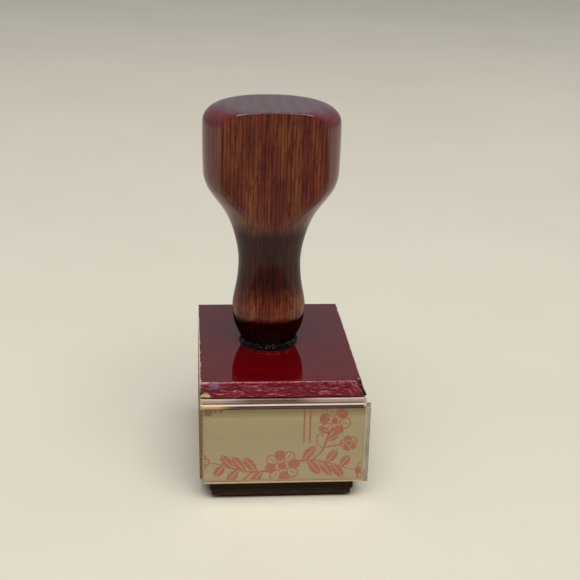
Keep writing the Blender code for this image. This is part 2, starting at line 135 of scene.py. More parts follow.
# Light
SOFTBOX_PLACE = (0.05, -0.55, 1.5)
SOFTBOX_TARGET = (0, 0, 0.05)
SOFTBOX_SIZE = 1.6
SOFTBOX_POWER = 36.0
SOFTBOX_COLOR = (1.0, 0.985, 0.96)
ROOM_COLOR = (0.9, 0.94, 1.0)
ROOM_STRENGTH = 0.34
FLOOR_REACH = 3.0
FLAG_REACH = 1.3
FLAG_PROFILE = ((-0.06, 0.001), (-0.45, 0.001), (-0.55, 0.7))
FLAG_EDGE = (-0.06, -0.2)
FLAG_SIDES = (1.0, 0.35)

PLASTIC_TINT = (0.955, 0.935, 0.88)


def node_box(name):
    low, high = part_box(name)
    return Vector(low), Vector(high)


def clamped(value, low=0.0):
    return min(max(value, low), 1.0)


def evenly(start, length, count):
    """Values from start to start + length in count equal steps."""
    return [start + length * i / count for i in range(count + 1)]


# --- shader helpers

class Value:
    """A number, vector or colour in a material. Arithmetic with it adds the nodes that it takes."""

    def __init__(self, socket):
        self.socket = socket
        self.tree = socket.id_data

    def __add__(self, other):
        return maths("ADD", self, other)

    def __sub__(self, other):
        return maths("SUBTRACT", self, other)

    def __rsub__(self, other):
        return maths("SUBTRACT", other, self)

    def __mul__(self, other):
        return maths("MULTIPLY", self, other)

    def __truediv__(self, other):
        return maths("DIVIDE", self, other)

    def __abs__(self):
        return maths("ABSOLUTE", self)

    def spread(self, low, high):
        """0 where this value is low and 1 where it is high, smooth between them and clamped."""
        return put(self.tree, "MapRange", {"interpolation_type": "SMOOTHSTEP"}, Value=self, From_Min=low,
                   From_Max=high)

    def fade(self, place, out, full):
        """0 where this value is out mm past a place and 1 where it is full mm past it."""
        return self.spread(place + out * MM, place + full * MM)

    def ramp(self, *stops):
        """A colour ramp with (position, colour) stops."""
        new = self.tree.nodes.new("ShaderNodeValToRGB")
        elements = new.color_ramp.elements
        while len(elements) < len(stops):
            elements.new(0.5)
        for element, (position, color) in zip(elements, stops):
            element.position = position
            element.color = (*color, 1.0)
        feed(new.inputs[0], self)
        return Value(new.outputs[0])


class Look:
    """A new material with its Principled shader, and short ways to start its values."""

    def __init__(self, name, **inputs):
        self.material = bpy.data.materials.new(name)
        self.material.use_nodes = True
        self.tree = self.material.node_tree
        self.shader = self.tree.nodes["Principled BSDF"]
        wire(self.shader, **inputs)

    def set(self, **inputs):
        """Sets or links inputs of the Principled shader."""
        wire(self.shader, **inputs)
        return self.material

    def own(self, output="Object"):
        """The piece's own coordinates in metres, or its Normal."""
        return put(self.tree, "TexCoord", output=output)

    def part(self, axis, output="Object"):
        return put(self.tree, "SeparateXYZ", output=axis, Vector=self.own(output))

    def facing(self, axis):
        """How far the surface faces along one axis, from 0 to 1 either way."""
        return abs(self.part(axis, "Normal"))

    def place(self, stretch=(1, 1, 1), shift=(0, 0, 0)):
        """The own coordinates, scaled and shifted."""
        return put(self.tree, "Mapping", Vector=self.own(), Scale=stretch, Location=shift)

    def speckle(self, scale, detail=3.0, roughness=0.55, stretch=(1, 1, 1), shift=(0, 0, 0)):
        return noise_over(self.place(stretch, shift), scale, detail, roughness)

    def cells(self, scale, stretch=(1, 1, 1)):
        return put(self.tree, "TexVoronoi", output="Distance", Vector=self.place(stretch), Scale=scale)

    def away(self, stretch, spot):
        """Distance from a spot, measured in stretched coordinates."""
        spot = [size * along for size, along in zip(stretch, spot)]
        return maths("DISTANCE", self.place(stretch), spot, kind="VectorMath", output="Value")


def feed(socket, value):
    """Links a socket to a Value, or sets it to a number, vector or colour without alpha."""
    if isinstance(value, Value):
        socket.id_data.links.new(value.socket, socket)
    elif socket.type == "RGBA":
        socket.default_value = (*value, 1.0)
    else:
        socket.default_value = value


def wire(new, **inputs):
    """Feeds a node's inputs by their names."""
    for name, value in inputs.items():
        feed(new.inputs[name.replace("_", " ")], value)


def put(tree, kind, settings=None, output=0, **inputs):
    """Adds a node and returns one of its outputs. settings are its properties, and inputs its sockets."""
    new = tree.nodes.new("ShaderNode" + kind)
    for name, value in (settings or {}).items():
        setattr(new, name, value)
    wire(new, **inputs)
    return Value(new.outputs[output])


def tree_of(*values):
    return next(value.tree for value in values if isinstance(value, Value))


def maths(operation, *values, kind="Math", output=0):
    new = tree_of(*values).nodes.new("ShaderNode" + kind)
    new.operation = operation
    for socket, value in zip(new.inputs, values):
        feed(socket, value)
    return Value(new.outputs[output])


def larger(first, second):
    return maths("MAXIMUM", first, second)


def mix(factor, first, second, blend="MIX"):
    new = tree_of(factor, first, second).nodes.new("ShaderNodeMix")
    new.data_type = "RGBA"
    new.blend_type = blend
    for index, value in ((0, factor), (6, first), (7, second)):
        feed(new.inputs[index], value)
    return Value(new.outputs[2])


def mix_shaders(factor, first, second):
    new = factor.tree.nodes.new("ShaderNodeMixShader")
    for socket, value in zip(new.inputs, (factor, first, second)):
        feed(socket, value)
    return Value(new.outputs[0])


def noise_over(vector, scale, detail=3.0, roughness=0.55, distortion=0.0):
    return put(vector.tree, "TexNoise", Vector=vector, Scale=scale, Detail=detail, Roughness=roughness,
               Distortion=distortion)


def bump(height, strength, distance):
    return put(height.tree, "Bump", Height=height, Strength=strength, Distance=distance)


# --- materials

def varnished_wood(foot):
    """Red-brown wood with dark grain lines along Z, under clear gloss varnish; near the foot its colour is
    darkened as a painted reflection of the dark board, and under the head as painted shade.
    """
    look = Look("varnished_wood", Coat_Roughness=0.06, Coat_IOR=1.5, Specular_IOR_Level=0.0, Roughness=0.5)
    sway = look.speckle(55, 2, stretch=(1, 1, 0.22))
    bent = maths("MULTIPLY_ADD", sway, (0.0012, 0.0012, 0.0), look.own(), kind="VectorMath")

    def grain(across, along, shift, detail=3.0):
        """Noise with features 1 / across wide and 1 / along long, in metres."""
        stretched = put(look.tree, "Mapping", Vector=bent, Scale=(1, 1, along / across), Location=shift)
        return noise_over(stretched, across, detail, 0.6)

    zones = grain(190, 12, (0, 0, 0), 2)
    bands = grain(620, 9, (3, 1, 0))
    streaks = grain(1900, 26, (0, 5, 0), 3)
    pores = grain(3800, 130, (0, 7, 2), 2)
    color = zones.ramp((0.36, (0.16, 0.028, 0.018)), (0.5, (0.2, 0.046, 0.021)),
                       (0.64, (0.262, 0.078, 0.026)))
    color = mix(bands.spread(0.46, 0.62) * 0.6, color, (0.085, 0.013, 0.012))
    flow = put(look.tree, "Mapping", Vector=bent, Scale=(1, 0.35, 0.018))
    lines = put(look.tree, "TexWave", {"bands_direction": "X"}, 1, Vector=flow, Scale=330, Distortion=7,
                Detail=3, Detail_Scale=1.6)
    color = mix(lines.spread(0.62, 0.98) * 0.6, color, (0.045, 0.006, 0.007))
    color = mix(streaks.spread(0.5, 0.64) * 0.6, color, (0.045, 0.006, 0.007))
    holes = pores.spread(0.57, 0.68)
    color = mix(holes * 0.6, color, (0.022, 0.003, 0.003))

    up = look.part(2, "Normal")
    z = look.part(2)
    rings = put(look.tree, "TexWave", {"bands_direction": "X"}, 1, Vector=bent, Scale=85, Distortion=2.5,
                Detail=2)
    end_grain = mix(rings, (0.066, 0.033, 0.04), (0.086, 0.042, 0.049))
    wine = up.spread(0.03, 0.3) * z.fade(foot, 50, 56)
    color = mix(wine * 0.75, color, (0.105, 0.011, 0.016))
    color = mix(up.spread(0.8, 0.985) * 0.9, color, end_grain)
    # Painted reflection: the colour darkens near the foot, where the varnish mirrors the dark board
    low = (z + bands * (1.5 * MM)).fade(foot, 10.5, 8.7)
    color = mix(low, color, mix(1.0, color, (0.13, 0.02, 0.03), "MULTIPLY"))
    neck = z.fade(foot, 36, 31)
    # Painted shade: the narrow part under the head is darker, as in the head's shadow
    waist_painted_shade = neck * z.fade(foot, 11, 19)
    color = mix(waist_painted_shade * 0.9, color, mix(1.0, color, (0.15, 0.08, 0.12), "MULTIPLY"))
    sunk = (1.0 - holes) + streaks * 0.6
    peel = look.speckle(320, 2, stretch=(1, 1, 0.4))
    return look.set(Base_Color=color, Coat_Weight=0.8 - larger(low * 0.68, neck * 0.3),
                    Normal=bump(sunk, 0.4, 0.00004), Coat_Normal=bump(peel, 0.1, 0.0001))


def red_lacquer(low, high):
    """Deep cherry lacquer, brushed on the front with painted glints on its ridges and a pale top edge that is
    partly wear and partly a painted highlight, bruised and chipped at the left and torn at the right; the
    bruise has painted glints too.
    """
    look = Look("red_lacquer", Coat_Weight=1.0, Coat_IOR=1.5, Specular_IOR_Level=0.0)
    x, y, z = (look.part(axis) for axis in range(3))
    fine = look.speckle(1500, 3, 0.6, (0.02, 1, 1))
    top = fine.ramp((0.3, (0.062, 0.0002, 0.0012)), (0.7, (0.092, 0.001, 0.0025)))
    ragged = look.speckle(1900, 3, 0.65, shift=(1, 0, 0))
    on_front = y.fade(low.y, 0.4, 0.1)

    # Brush strokes, whose pale pink tops are painted glints on the ridges, and a pale line along the top edge
    # that is partly worn lacquer and partly a painted highlight
    lean = larger(x - (high.x - 4.5 * MM), 0.0) * 0.9
    drift = look.speckle(75, 1, stretch=(1, 0, 0))
    leaning = put(look.tree, "CombineXYZ", X=x * 0.1, Y=y * 0.3, Z=z + lean + drift * 0.004)
    strokes = noise_over(leaning, 4300, 3, 0.65, 0.8)
    brushed = strokes.ramp((0.36, (0.04, 0.0, 0.002)), (0.44, (0.135, 0.001, 0.008)),
                           (0.52, (0.22, 0.004, 0.018)), (0.6, (0.32, 0.035, 0.062)),
                           (0.68, (0.7, 0.32, 0.37)))
    rubbed_edge_highlight = z.fade(high.z, -0.45, -0.15) * ragged.spread(0.4, 0.62)
    brushed = mix(rubbed_edge_highlight * 0.7, brushed, (0.56, 0.21, 0.26))
    worn = look.speckle(420, 3, 0.6, (0.25, 1, 0.6), (5, 0, 2))
    brushed = mix(worn.spread(0.58, 0.8), brushed, (0.07, 0.002, 0.009))
    color = mix(on_front, top, brushed)

    # Bruise: a purple-grey blemish with painted pink glints in it
    glints = ragged.ramp((0.45, (0.17, 0.08, 0.17)), (0.55, (0.33, 0.18, 0.31)),
                         (0.64, (0.7, 0.42, 0.5)))
    bruise = look.away((0.62, 1, 1), (low.x + 3.6 * MM, low.y, high.z - 0.9 * MM)) + ragged * (2.8 * MM)
    color = mix(bruise.spread(2.5 * MM, 2.0 * MM) * 0.85, color, glints)

    # Bare wood: the chip, and nicks along both upper edges
    chip = (z - low.z) + abs(x - (low.x + 1.45 * MM)) * 0.95 + ragged * (2.6 * MM)
    bare = chip.spread(2.95 * MM, 2.75 * MM) * y.fade(low.y, 1.6, 1.2)
    nicks = look.speckle(950, 2, 0.6, (1, 0.5, 1), (0, 2, 0))
    left_top = low.x + BOARD_LEFT_SLOPE
    scuffed = (x + ragged * (1.2 * MM)).fade(left_top, 2.7, 2.2)
    scuffed = scuffed * z.fade(high.z, -0.75, -0.35)
    scuffed = scuffed * y.fade(low.y, 0.5, 0.3)
    color = mix(scuffed * 0.8, color, (0.56, 0.27, 0.2))
    for edge in (left_top, high.x - BOARD_RIGHT_SLOPE):
        near = abs(x - edge).spread(0.35 * MM, 0.1 * MM) * z.fade(high.z, -0.7, -0.2)
        bare = larger(bare, near * nicks.spread(0.57, 0.61))
    fibres = look.speckle(2600, 3, 0.6, (0.4, 1, 1))
    color = mix(bare, color, fibres.ramp((0.3, (0.43, 0.25, 0.11)), (0.7, (0.78, 0.56, 0.29))))

    # Torn right end
    slope = x + (z - low.z) * 0.45 + ragged * (1.6 * MM)
    torn = slope.fade(high.x, -0.9, 0.5) * y.fade(low.y, 2.5, 1.0)
    flakes = nicks.ramp((0.5, (0.022, 0.009, 0.006)), (0.6, (0.06, 0.025, 0.015)),
                        (0.66, (0.46, 0.3, 0.21)))
    color = mix(torn * 0.9, color, flakes)
    dull = larger(larger(bare, torn * 0.8), on_front * 0.45)
    ridges = strokes * on_front
    return look.set(Base_Color=color, Roughness=larger(on_front * 0.5, 0.35), Coat_Weight=1.0 - dull,
                    Coat_Roughness=maths("MULTIPLY_ADD", on_front, 0.16, 0.045),
                    Normal=bump(ridges, 0.7, 0.00022), Coat_Normal=bump(ridges + fine * 0.03, 0.5, 0.00018))


def raw_wood():
    """Sawn wood with its grain along X, and darker ends with growth rings and dirt."""
    look = Look("raw_wood", Specular_IOR_Level=0.35, Roughness=0.72)
    rings = put(look.tree, "TexWave", {"wave_type": "RINGS", "rings_direction": "X"}, 1,
                Vector=look.place((0.12, 1, 1), (0, 0.034, 0.052)), Scale=130, Distortion=1.6, Detail=3,
                Detail_Scale=1.5)
    fibres = look.speckle(2400, 4, 0.65, (0.03, 1, 1))
    color = rings.ramp((0.0, (0.215, 0.137, 0.062)), (0.7, (0.28, 0.187, 0.09)),
                       (1.0, (0.162, 0.089, 0.035)))
    color = mix(fibres * 0.6, color, (0.178, 0.102, 0.043))
    end = look.facing(0).spread(0.6, 0.9)
    pits = look.cells(2300, (0.2, 1, 1))
    dirt = look.speckle(260, 4, 0.6, (0.3, 1, 1), (0, 4, 0))
    sawn = rings.ramp((0.0, (0.15, 0.088, 0.038)), (0.7, (0.19, 0.116, 0.052)),
                      (1.0, (0.098, 0.052, 0.021)))
    sawn = mix(dirt.spread(0.62, 0.36) * 0.45, sawn, (0.07, 0.036, 0.014))
    sawn = mix(pits.spread(0.35, 0.15), sawn, (0.09, 0.042, 0.015))
    saw_marks = look.speckle(1700, 3, 0.6, (1, 1, 0.03), (2, 0, 0))
    return look.set(Base_Color=mix(end, color, sawn), Normal=bump(fibres + saw_marks * end, 0.5, 0.0001))


def clear_plastic(name):
    """Clear extruded plastic with faint drawing lines, and a cloudy shader to mix with it."""
    look = Look(name, Transmission_Weight=1.0, IOR=1.47, Roughness=0.03)
    look.set(Normal=bump(look.speckle(1300, 2, 0.5, (0.01, 1, 1)), 0.15, 0.0001))
    milky = look.tree.nodes.new("ShaderNodeBsdfPrincipled")
    wire(milky, Roughness=0.25, Coat_Weight=0.6, Coat_Roughness=0.05)
    return look, milky


def mix_cloud(look, milky, cloudy):
    """The material's output: clear, or milky where it is cloudy, and lamps shine through both."""
    body = mix_shaders(cloudy, Value(look.shader.outputs[0]), Value(milky.outputs[0]))
    through = put(look.tree, "BsdfTransparent", Color=(0.93, 0.91, 0.86))
    lamps = put(look.tree, "LightPath", output="Is Shadow Ray")
    feed(look.tree.nodes["Material Output"].inputs["Surface"], mix_shaders(lamps, body, through))
    return look.material


def rail_plastic(low, high):
    """The rail: a tan flat band over a bead, with a painted dark groove between them, a painted highlight on
    the bead's top and painted shade below it; a painted reflection darkens the band's middle, and it is amber
    at its left end.
    """
    look, milky = clear_plastic("rail_plastic")
    x, y, z = (look.part(axis) for axis in range(3))
    cloud = look.speckle(240, 3, 0.6, (0.5, 1, 1))
    drop = (high.z - z) / (high.z - low.z)
    # Painted light and shade down the rail: a tan band, a painted dark groove, a painted highlight line on
    # the bead, and painted shade below it
    shade = drop.ramp(
        (0.0, (0.52, 0.4, 0.32)), (0.28, (0.43, 0.315, 0.245)), (0.42, (0.15, 0.085, 0.065)),
        (0.5, (0.12, 0.06, 0.048)), (0.55, (0.6, 0.45, 0.43)), (0.61, (0.56, 0.41, 0.39)),
        (0.66, (0.06, 0.018, 0.016)), (0.86, (0.034, 0.008, 0.005)), (1.0, (0.034, 0.01, 0.006)))
    # Painted reflection: the band darkens in the middle of its length
    middle = ((x - low.x) / (high.x - low.x)).ramp(
        (0.12, (0.0, 0.0, 0.0)), (0.3, (0.8, 0.8, 0.8)), (0.56, (0.9, 0.9, 0.9)), (0.72, (0.1, 0.1, 0.1)),
        (0.8, (0.0, 0.0, 0.0)))
    shade = mix(drop.spread(0.5, 0.42) * middle, shade, (0.08, 0.016, 0.009))
    amber = (x + cloud * (8 * MM)).fade(low.x, 14, 8) * drop.spread(0.44, 0.54)
    gold = drop.ramp((0.52, (0.64, 0.52, 0.32)), (0.66, (0.6, 0.44, 0.22)),
                     (0.74, (0.56, 0.33, 0.1)), (1.0, (0.72, 0.48, 0.19)))
    at_end = larger(x.fade(low.x, 1.0, 0.5),
                    x.fade(high.x, -1.1, -0.6))
    end_shade = cloud.ramp((0.4, (0.33, 0.25, 0.15)), (0.6, (0.52, 0.42, 0.29)))
    wire(milky, Base_Color=mix(at_end * 0.8, mix(amber, shade, gold), end_shade))
    look.set(Base_Color=mix(amber, PLASTIC_TINT, (0.93, 0.72, 0.37)))
    cloudy = y.fade(low.y, 1.0, 0.6) * (drop * 0.12 + 0.84)
    return mix_cloud(look, milky, larger(cloudy, look.facing(0).spread(0.7, 0.9) * 0.8))


def window_plastic(low, block_end):
    """The window: clear, pale along its sawn edges and lip, and greyish where it stands past the block; the
    lip's paleness is partly milky plastic and partly a painted reflection of the floor.
    """
    look, milky = clear_plastic("window_plastic")
    cloud = look.speckle(500, 3, 0.6, (1, 1, 0.4))
    past = look.part(0).fade(block_end, -0.15, 0.15)
    lip = look.part(2).fade(low.z, 0.75, 0.55)
    edge = cloud.ramp((0.35, (0.24, 0.185, 0.13)), (0.65, (0.36, 0.3, 0.225)))
    # Milk colour: greyish past the block, pale elsewhere; on the lip the pale is partly a painted reflection
    # of the floor
    pale = cloud.ramp((0.35, (0.49, 0.35, 0.215)), (0.65, (0.56, 0.415, 0.265)))
    wire(milky, Base_Color=mix(past, pale, edge))
    look.set(Base_Color=PLASTIC_TINT)
    rim = look.facing(2).spread(0.7, 0.9) * larger(past, lip)
    cloudy = larger(larger(past * 0.75, lip * 0.85), rim)
    return mix_cloud(look, milky, larger(cloudy, look.facing(0).spread(0.7, 0.9) * 0.75))


def aged_card(low, high):
    """Cream card with faint lines along it, a painted shadow at the top under the rail with a painted bright
    band below it, a rust stain and a few specks.
    """
    look = Look("aged_card", Roughness=0.75, Specular_IOR_Level=0.2)
    fibres = look.speckle(2600, 4, 0.6)
    lines = look.speckle(1700, 3, 0.7, (0.012, 1, 1))
    color = mix(fibres, (0.278, 0.228, 0.121), (0.314, 0.264, 0.153))
    color = mix(lines.spread(0.45, 0.7) * 0.3, color, (0.235, 0.182, 0.09))
    # Painted light and shade by height: a painted shadow under the rail at the top, a painted bright band
    # below it, slightly lighter towards the bottom
    shade = ((look.part(2) - low.z) / (high.z - low.z)).ramp(
        (0.0, (1.04, 1.05, 1.08)), (0.5, (1.0, 1.0, 1.0)), (0.7, (1.02, 1.03, 0.98)),
        (0.77, (1.2, 1.2, 1.12)), (0.815, (0.92, 0.9, 0.78)), (0.86, (0.82, 0.8, 0.66)))
    color = mix(1.0, color, shade, "MULTIPLY")
    blotch = look.speckle(900, 3, 0.6, shift=(0, 0, 3))
    for right, down, size in CARD_STAINS:
        reach = look.away((0.9, 0, 1), (low.x + right, 0, high.z - down)) + blotch * (1.2 * MM)
        color = mix(reach.fade(size, 0.6, 0.25) * 0.8, color, (0.165, 0.05, 0.019))
    specks = look.cells(330, (1, 0, 1))
    color = mix(specks.spread(0.075, 0.045) * 0.5, color, (0.11, 0.07, 0.03))
    return look.set(Base_Color=color, Normal=bump(fibres, 0.15, 0.00005))


def coral_ink():
    """Coral stamping ink, mottled where the card took less of it."""
    look = Look("coral_ink", Roughness=0.7, Specular_IOR_Level=0.2)
    mottle = look.speckle(1500, 4, 0.7)
    return look.set(Base_Color=mottle.ramp((0.32, (0.285, 0.062, 0.029)), (0.56, (0.31, 0.086, 0.044)),
                                           (0.74, (0.31, 0.165, 0.085))))


def black_glue():
    """Black glossy glue with small bubbles and pale grey specks."""
    look = Look("black_glue", Roughness=0.15, Specular_IOR_Level=0.22)
    pale_specks = look.speckle(2600, 3, 0.6)
    color = pale_specks.ramp((0.6, (0.004, 0.002, 0.002)), (0.72, (0.008, 0.005, 0.004)),
                      (0.8, (0.1, 0.08, 0.07)))
    return look.set(Base_Color=color, Normal=bump(look.cells(1300).spread(0.0, 0.35), 0.4, 0.0001))


def zinc_steel():
    """Zinc plated steel with turning marks around Z and a little tarnish."""
    look = Look("zinc_steel", Metallic=1.0)
    marks = look.speckle(900, 3, 0.6, (1, 1, 6))
    color = look.speckle(300, 3, 0.6).ramp((0.35, (0.36, 0.33, 0.27)), (0.65, (0.62, 0.6, 0.54)))
    return look.set(Base_Color=color, Roughness=maths("MULTIPLY_ADD", marks, 0.3, 0.22),
                    Normal=bump(marks, 0.2, 0.00005))


def adhesive_film():
    """Amber double-sided film with trapped air, its cut edges painted dark as shade of the gap under the
    block.
    """
    look = Look("adhesive_film", Roughness=0.45)
    air = look.cells(520)
    amber = air.ramp((0.1, (0.58, 0.47, 0.28)), (0.6, (0.42, 0.3, 0.14)))
    # Painted shade: the sideways-facing cut edges are near black
    color = mix(look.facing(2).spread(0.4, 0.8), (0.014, 0.008, 0.004), amber)
    return look.set(Base_Color=color, Normal=bump(air, 0.2, 0.00005))


def sponge_rubber():
    """Dark closed-cell foam with open pores on its cut sides, its colour darkened further as painted shade of
    the gap under the block.
    """
    look = Look("sponge_rubber", Roughness=0.9, Specular_IOR_Level=0.08)
    pores = look.cells(2600)
    # Painted shade: these colours are darker than the foam itself, for the shadowed gap under the block
    color = pores.ramp((0.05, (0.004, 0.002, 0.001)), (0.5, (0.014, 0.008, 0.004)))
    color = mix(look.speckle(400, 3, 0.6) * 0.4, color, (0.026, 0.015, 0.007))
    return look.set(Base_Color=color, Normal=bump(pores, 0.8, 0.00015))


def moulded_rubber():
    """Reddish-brown stamp rubber, darkened as painted shade of the gap under the block, and stained with
    coral ink on the raised picture.
    """
    look = Look("moulded_rubber", Specular_IOR_Level=0.12)
    cloud = look.speckle(350, 4, 0.6)
    # Painted shade: the rubber's colour is darkened for the shadowed gap under the block
    color = cloud.ramp((0.3, (0.024, 0.01, 0.004)), (0.7, (0.046, 0.018, 0.008)))
    patchy = look.speckle(900, 4, 0.7, (1, 1, 0)).spread(0.3, 0.55)
    stain = look.part(2).spread(0.12 * MM, 0.05 * MM) * patchy
    return look.set(Base_Color=mix(stain, color, (0.42, 0.11, 0.06)),
                    Roughness=maths("MULTIPLY_ADD", cloud, 0.2, 0.5),
                    Normal=bump(look.speckle(3000, 2), 0.25, 0.00005))


def pale_floor():
    look = Look("pale_floor", Roughness=0.7, Specular_IOR_Level=0.3)
    color = look.speckle(6, 3, 0.6).ramp((0.3, (0.55, 0.51, 0.42)), (0.7, (0.58, 0.54, 0.45)))
    return look.set(Base_Color=color)


def flag_cloth(near, far, side):
    """Dark cloth that fades out towards its near edge and its sides."""
    look = Look("flag_cloth", Roughness=0.9, Specular_IOR_Level=0.1)
    cloth = look.speckle(900, 2).ramp((0.3, (0.012, 0.011, 0.01)), (0.7, (0.02, 0.02, 0.02)))
    solid = look.part(1).spread(near, far) * abs(look.part(0)).spread(*side)
    return look.set(Base_Color=cloth, Alpha=solid * 0.75)


# --- mesh helpers

def new_object(name, data):
    item = bpy.data.objects.new(name, data)
    bpy.context.scene.collection.objects.link(item)
    return item


def add_piece(name, mesh, material, body, slot, *replaced):
    """Links a piece, gives it its material and body, and hides the CAD nodes that it stands for."""
    mesh.name = name
    item = new_object(name, mesh)
    mesh.materials.append(material)
    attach(item, body)
    if replaced:
        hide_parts(*replaced)
    return item


def plain_mesh(bm):
    mesh = bpy.data.meshes.new("piece")
    bm.to_mesh(mesh)
    bm.free()
    return mesh


def smooth_mesh(bm, angle):
    """A smooth shaded mesh whose edges are sharp where they turn by more than angle degrees."""
    mesh = plain_mesh(bm)
    mesh.shade_smooth()
    mesh.set_sharp_from_angle(angle=radians(angle))
    return mesh


def finish_mesh(bm, angle):
    bmesh.ops.recalc_face_normals(bm, faces=bm.faces)
    return smooth_mesh(bm, angle)


def new_rows(bm, rings):
    return [[bm.verts.new(point) for point in ring] for ring in rings]


def join_rows(bm, near, far):
    """Faces between two closed rows of vertices."""
    for i in range(len(near)):
        after = (i + 1) % len(near)
        bm.faces.new((near[i], near[after], far[after], far[i]))


def wrapped_grid(bm, rings):
    """Joins rings of points, from the first to the last, into a tube, and closes its two ends with a fan."""
    rows = new_rows(bm, rings)
    for near, far in zip(rows, rows[1:]):
        join_rows(bm, near, far)
    count = len(rows[0])
    for row in (rows[0], rows[-1]):
        middle = bm.verts.new(sum((v.co for v in row), Vector()) / count)
        for i in range(count):
            bm.faces.new((row[i], row[(i + 1) % count], middle))


def lattice(bm, stops):
    """The surface of a box as a grid, with lines at the given X, Y and Z stops."""
    sizes = [len(line) for line in stops]
    verts = {}

    def corner(i, j, k):
        if (i, j, k) not in verts:
            verts[i, j, k] = bm.verts.new((stops[0][i], stops[1][j], stops[2][k]))
        return verts[i, j, k]

    for axis in range(3):
        first, second = [a for a in range(3) if a != axis]
        for side in (0, sizes[axis] - 1):
            for a in range(sizes[first] - 1):
                for b in range(sizes[second] - 1):
                    ring = []
                    for da, db in ((0, 0), (1, 0), (1, 1), (0, 1)):
                        index = {axis: side, first: a + da, second: b + db}
                        ring.append(corner(*(index[i] for i in range(3))))
                    bm.faces.new(ring)


def stops_between(low, high, rounding, step):
    """Grid lines from low to high, close together in the two rounded edges."""
    near = [low + rounding * part for part in (0.0, 0.35, 0.7)]
    count = max(1, round((high - low - 2 * rounding) / step))
    middle = evenly(low + rounding, high - low - 2 * rounding, count)
    far = [high - rounding * part for part in (0.7, 0.35, 0.0)]
    return near + middle + far


def round_off(point, low, high, rounding):
    """Moves a point on a box's surface onto the box with rounded edges."""
    inner = Vector([min(max(point[a], low[a] + rounding), high[a] - rounding) for a in range(3)])
    away = point - inner
    return inner + away.normalized() * rounding if away.length > 1e-9 else point


def rounded_slab(low, high, rounding, steps):
    bm = bmesh.new()
    lattice(bm, [stops_between(low[a], high[a], rounding, steps[a]) for a in range(3)])
    for vertex in bm.verts:
        vertex.co = round_off(vertex.co, low, high, rounding)
    return bm


# --- handle and glue

def handle_outline():
    """(height, radius) pairs of the CAD handle's outline, read along its +X side."""
    found = {}
    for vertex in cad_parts["handle"].data.vertices:
        out = vertex.co.x - HANDLE_X
        if abs(vertex.co.y) < 0.01 * MM and out > 3 * MM:
            found[round(vertex.co.z, 6)] = out
    return sorted(found.items())


def smooth_curve(points, spacing):
    """Points about spacing apart on a centripetal Catmull-Rom curve through the given ones."""
    points = [Vector(point) for point in points]
    knots = [0.0]
    for near, far in zip(points, points[1:]):
        knots.append(knots[-1] + sqrt((far - near).length))
    last = len(points) - 1
    pace = [(points[i + 1] - points[i]) / (knots[i + 1] - knots[i]) for i in range(last)]
    slopes = [pace[0]]
    for i in range(1, last):
        before = knots[i] - knots[i - 1]
        after = knots[i + 1] - knots[i]
        slopes.append((pace[i - 1] * after + pace[i] * before) / (before + after))
    slopes.append(pace[-1])
    result = []
    for i in range(last):
        span = knots[i + 1] - knots[i]
        steps = max(1, round((points[i + 1] - points[i]).length / spacing))
        for j in range(steps):
            t = j / steps
            rest = 1 - t
            result.append(points[i] * (rest * rest * (1 + 2 * t)) + slopes[i] * (t * rest * rest * span)
                          + points[i + 1] * (t * t * (3 - 2 * t)) - slopes[i + 1] * (t * t * rest * span))
    result.append(points[-1])
    return result


def soft_minimum(first, second, reach):
    """The smaller of two lengths, blended where they are within reach of each other."""
    part = clamped(0.5 + 0.5 * (second - first) / reach)
    return second * (1 - part) + first * part - reach * part * (1 - part)


def quarter_angles(flat_angle):
    """Angles from the side (0) to the front (90 degrees), crowded where the flat begins."""
    width = radians(5)
    turn = min(max(flat_angle, radians(20)), radians(90) - 2 * width)
    side = evenly(0.0, turn - width, 11)[:-1]
    corner = evenly(turn - width, 2 * width, 8)[:-1]
    flat = evenly(turn + width, radians(90) - turn - width, 10)[:-1]
    return side + corner + flat


def full_shoulder(height):
    """The radius of the fuller shoulder over the front flat, which keeps its top edge straight."""
    part = (height - HANDLE_HEIGHT + SHOULDER_HEIGHT) / SHOULDER_HEIGHT
    if part <= 0:
        return 0.0
    swell = max(1 - part ** SHOULDER_FULLNESS, 0.0) ** (1 / SHOULDER_FULLNESS)
    return TOP_DISC_RADIUS + (HEAD_RADIUS - TOP_DISC_RADIUS) * swell


def handle_ring(height, radius, base):
    """Points around the handle at one height, with the front and back flats."""
    rise = (FLAT_TOP_DISTANCE - FLAT_BOTTOM_DISTANCE) / (HANDLE_HEIGHT - FLAT_BOTTOM_HEIGHT)
    distance = FLAT_BOTTOM_DISTANCE + rise * (height - base - FLAT_BOTTOM_HEIGHT)
    has_flat = height - base > FLAT_START
    flat_angle = radians(90)
    if has_flat and distance < radius:
        flat_angle = radians(90) - acos(distance / radius)
    quarter = quarter_angles(flat_angle)
    angles = quarter + [pi - a for a in reversed(quarter[1:])]
    angles.insert(len(quarter), pi / 2)
    angles += [a + pi for a in angles]
    near_top = clamped((height - base - TOP_ARRIS_HEIGHT) / (4 * MM))
    rounding = ARRIS_ROUNDING + (TOP_ARRIS_ROUNDING - ARRIS_ROUNDING) * near_top
    points = []
    for angle in angles:
        over_flat = clamped((-sin(angle) - 0.45) / 0.35)
        fuller = max(full_shoulder(height - base) - radius, 0.0)
        reach = radius + fuller * over_flat * over_flat * (3 - 2 * over_flat)
        if has_flat and abs(sin(angle)) > 0.05:
            reach = soft_minimum(reach, distance / abs(sin(angle)), rounding)
        points.append(Vector((HANDLE_X + reach * cos(angle), reach * sin(angle), height)))
    return points


def add_handle(material):
    low, high = node_box("handle")
    outline = smooth_curve([(height, radius, 0.0) for height, radius in handle_outline()], 0.55 * MM)
    rings = [handle_ring(point[0], point[1], low.z) for point in outline]
    middle = Vector((HANDLE_X, 0, high.z))
    rim = rings[-1]
    rings += [[middle.lerp(point, part) for point in rim] for part in (0.85, 0.6, 0.3)]
    bm = bmesh.new()
    wrapped_grid(bm, rings)
    return add_piece("turned_handle", finish_mesh(bm, 60), material, "mount", "stained_wood", "handle")


